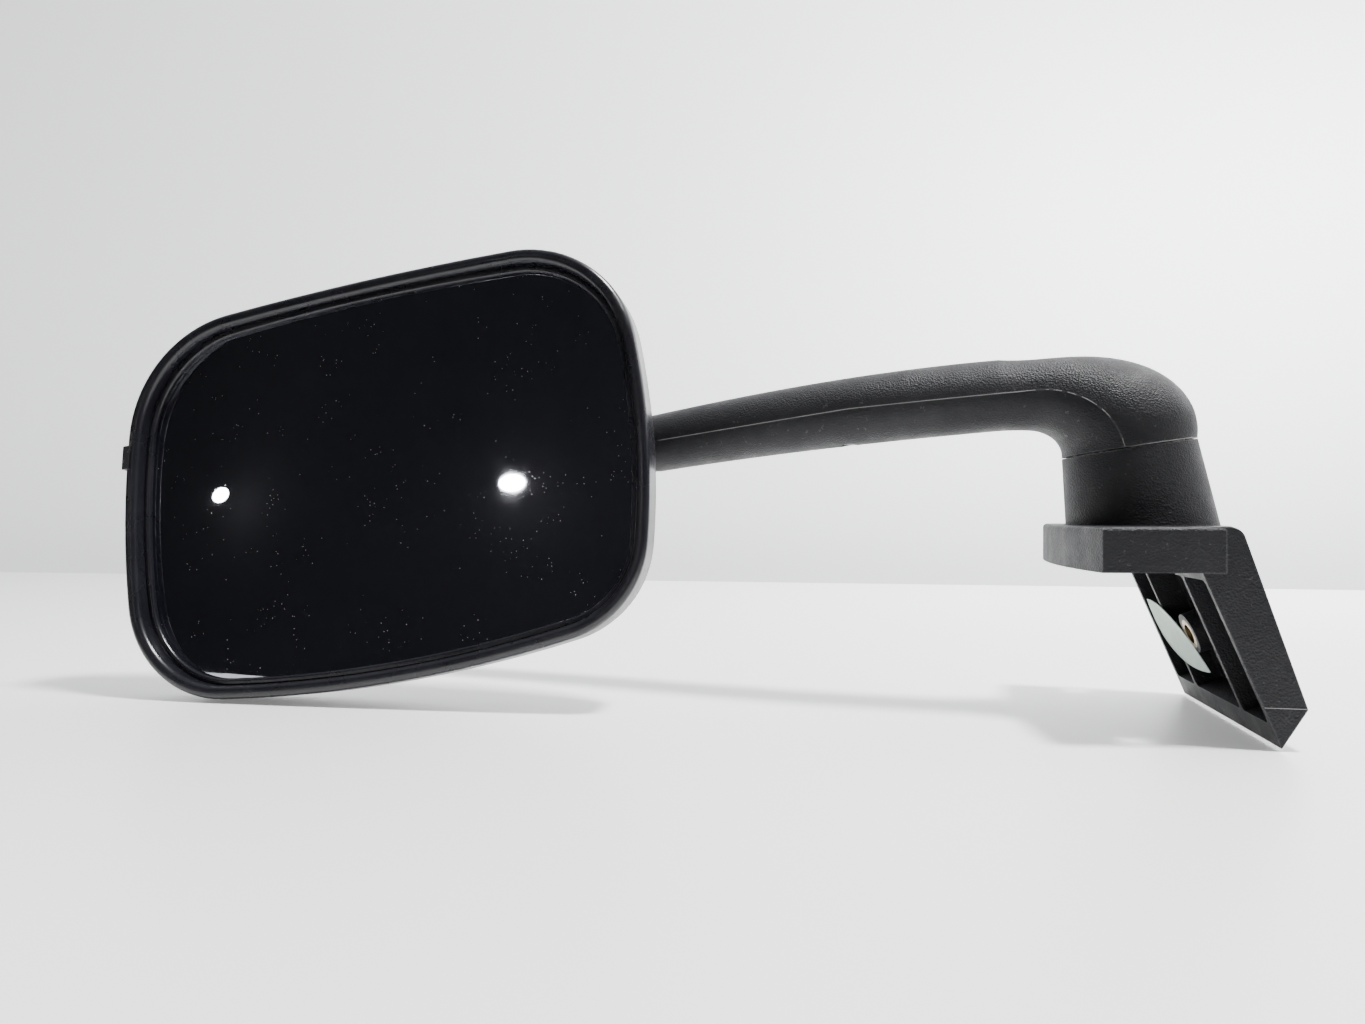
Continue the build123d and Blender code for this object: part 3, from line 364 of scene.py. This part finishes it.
def foam():
    """Dark open-cell foam."""
    m = Nodes("foam_pad")
    colour = m.ramp(m.cells(1600), ((0.2, (0.03, 0.03, 0.03)), (0.7, (0.09, 0.09, 0.09))))
    roughness = m.span(m.noise(200), 0.3, 0.7, 0.8, 0.95)
    return m.finish(colour, roughness, m.bump(m.cells(1600), 0.7, 0.0003))


def label_film():
    """Pale green film, paler where it creases, with soft fibres."""
    m = Nodes("label_film")
    colour = m.ramp(m.noise(90, 5), ((0.25, (0.47, 0.62, 0.53)), (0.75, (0.66, 0.77, 0.69))))
    fibres = m.span(m.noise(1500, 3, 0.6, stretch=(0.2, 1, 1)), 0.55, 0.75, 0.0, 0.4)
    colour = m.mix(fibres, colour, (0.80, 0.86, 0.80))
    roughness = m.span(m.noise(200), 0.3, 0.7, 0.5, 0.7)
    return m.finish(colour, roughness, m.bump(m.noise(350, 4), 0.35, 0.0003))


def dress_nodes():
    """Gives every carried-over CAD node its material, and returns the materials by slot."""
    by_slot = {
        "bracket_moulding": grained_plastic("bracket_grain", 1150),
        "black_moulding": grained_plastic("arm_grain", 1350),
        "inner_moulding": smooth_plastic("inner_black", (0.02,) * 3, (0.04,) * 3, 0.4, 0.6),
        "rim_rubber": rim_rubber(),
        "steel": plated_metal("zinc_steel", (0.50, 0.51, 0.53)),
        "mirror_glass": mirror_glass(),
        "brass": plated_metal("turned_brass", (0.40, 0.30, 0.16)),
        "acetal": smooth_plastic("acetal", (0.72, 0.71, 0.66), (0.82, 0.81, 0.77), 0.28, 0.4),
        "foam": foam(),
        "label_film": label_film(),
    }
    for part in frame["record"]["subparts"]:
        obj = frame["nodes"][part["node"]]
        for slot in obj.material_slots:
            slot.material = by_slot[part["material_slot"]]
    return by_slot


# ---------------------------------------------------------------- extra pieces
def make_piece(name, points, faces, material, body):
    """New smooth-shaded mesh piece that rides on a body."""
    mesh = bpy.data.meshes.new(name)
    mesh.from_pydata(points, [], faces)
    mesh.materials.append(material)
    mesh.polygons.foreach_set("use_smooth", [True] * len(mesh.polygons))
    piece = bpy.data.objects.new(name, mesh)
    bpy.context.collection.objects.link(piece)
    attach(piece, body)
    return piece


def surface_of(name):
    mesh = frame["nodes"][name].data
    points = [vertex.co.copy() for vertex in mesh.vertices]
    return BVHTree.FromPolygons(points, [tuple(face.vertices) for face in mesh.polygons])


def nearest_hit(trees, origin, direction):
    """(name, point) of the first node that a ray meets, or (None, None)."""
    found = (None, None)
    nearest = math.inf
    for name, tree in trees.items():
        point, _, _, distance = tree.ray_cast(origin, direction)
        if point is not None and distance < nearest:
            found, nearest = (name, point), distance
    return found


def boundary(trees, upper_name, x, high, low, side):
    """Where the first hit stops being upper_name, going down at one x; side is -1 for the front."""
    direction = Vector((0, -side, 0))
    step = 0.0015
    z = high
    above = last = None
    while z > low:
        name, point = nearest_hit(trees, Vector((x, side, z)), direction)
        if name == upper_name:
            above, last = z, point
        elif last is not None:
            break
        z -= step
    if last is None:
        return None
    below = z
    for _ in range(14):
        middle = (above + below) / 2
        name, point = nearest_hit(trees, Vector((x, side, middle)), direction)
        if name == upper_name:
            above, last = middle, point
        else:
            below = middle
    return last


def bead(name, path, radius, material, body):
    """Closed round thread along a path."""
    sides = 6
    points, faces = [], []
    for number, centre in enumerate(path):
        before = path[max(number - 1, 0)]
        after = path[min(number + 1, len(path) - 1)]
        along = (after - before).normalized()
        across = along.cross(Vector((0, 0, 1))).normalized()
        up = across.cross(along)
        for k in range(sides):
            turn = 2 * math.pi * k / sides
            points.append(centre + radius * (math.cos(turn) * across + math.sin(turn) * up))
    for number in range(len(path) - 1):
        for k in range(sides):
            a, b = number * sides + k, number * sides + (k + 1) % sides
            faces.append((a, b, b + sides, a + sides))
    faces.append(tuple(reversed(range(sides))))
    faces.append(tuple(range(len(points) - sides, len(points))))
    return make_piece(name, points, faces, material, body)


def make_flash_lines(material):
    """Pale mould flash along the arm's parting, the elbow's foot and the leg's front end."""
    shells = {name: surface_of(name) for name in ("arm_upper_shell", "arm_lower_shell")}
    low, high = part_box("arm_upper_shell")
    base_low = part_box("pivot_base")[0]
    head_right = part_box("rear_shell")[1].x
    seam_foot = base_low.x + SEAM_FOOT_INSET
    for side, name in ((-1, "flash_front"), (1, "flash_back")):
        path = []
        x = head_right - 0.006
        while x < seam_foot:
            point = boundary(shells, "arm_upper_shell", x, high.z, low.z, side)
            if point is not None:
                path.append(point)
            x += 0.003 if x < seam_foot - 0.045 else 0.001  # finer where the parting curves down
        bead(name, path, FLASH_RADIUS, material, "arm")

    pivot = {name: surface_of(name) for name in ("arm_upper_shell", "pivot_base", "thrust_disc")}
    path = []
    x = seam_foot + 0.001
    while x < high.x:
        point = boundary(pivot, "arm_upper_shell", x, high.z, base_low.z, -1)
        if point is not None:
            path.append(point)
        x += 0.001
    bead("flash_elbow_foot", path, FLASH_RADIUS, material, "arm")

    leg = {"bracket": surface_of("bracket")}
    bracket_low, bracket_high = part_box("bracket")
    height = bracket_low.z + LEG_FLASH_RISE
    path = []
    x = bracket_low.x
    while x < bracket_high.x:
        name, point = nearest_hit(leg, Vector((x, -1, height)), Vector((0, 1, 0)))
        if name and point.y < bracket_low.y + 0.012:
            path.append(point)
        x += 0.0005
    ends = [path[0], path[-1]]
    bead("flash_leg_end", ends, LEG_FLASH_RADIUS, material, "bracket")


def make_curled_label(material):
    """The blank label, leaf-shaped, lifting off the leg's ribs in a gentle curl."""
    half_width = 0.0074
    columns, rows, thickness = 28, 8, 0.0003
    gap, rise = 0.0003, 0.0030  # off the ribs: all over, and more at the free edge
    mesh = frame["nodes"]["blank_label"].data
    corners = [vertex.co.copy() for vertex in mesh.vertices]
    centre = sum(corners, Vector()) / len(corners)
    tip = max(corners, key=lambda corner: (corner - centre).length)
    other = max(corners, key=lambda corner: (corner - tip).length)
    along = (other - tip).normalized()
    normal = max(mesh.polygons, key=lambda face: face.area).normal.copy()
    if normal.x > 0:
        normal.negate()
    if normal.cross(along).y < 0:
        along.negate()
    across = normal.cross(along).normalized()
    middle = (tip + other) / 2 - across * 0.003
    half_length = (other - tip).length / 2
    points = []
    for layer in (0, 1):
        for i in range(columns + 1):
            u = 2 * i / columns - 1
            wide = half_width * (1 - abs(u) ** 2.2) + 0.0002
            for j in range(rows + 1):
                v = 2 * j / rows - 1
                lift = gap + rise * (1 - u * u) * ((v + 1) / 2) ** 1.4 + layer * thickness
                spot = middle + along * (u * half_length) + across * (v * wide)
                points.append(spot + normal * lift)
    faces = []  # both sides of the film, then its edge
    stride = rows + 1
    block = (columns + 1) * stride
    for i in range(columns):
        for j in range(rows):
            a = i * stride + j
            faces.append((a, a + 1, a + stride + 1, a + stride))
            faces.append((a + block, a + block + stride, a + block + stride + 1, a + block + 1))
    ring = [i * stride for i in range(columns + 1)]
    ring += [columns * stride + j for j in range(1, stride)]
    ring += [i * stride + rows for i in range(columns - 1, -1, -1)]
    ring += list(range(rows - 1, 0, -1))
    for a, b in zip(ring, ring[1:] + ring[:1]):
        faces.append((b, a, a + block, b + block))
    label = make_piece("curled_label", points, faces, material, "bracket")
    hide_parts("blank_label")


# ---------------------------------------------------------------- build
make_camera()
make_stage()
make_lights()
materials = dress_nodes()
flash = smooth_plastic("flash_plastic", (0.13, 0.13, 0.13), (0.22, 0.22, 0.22), 0.45, 0.6)
make_flash_lines(flash)
make_curled_label(materials["label_film"])
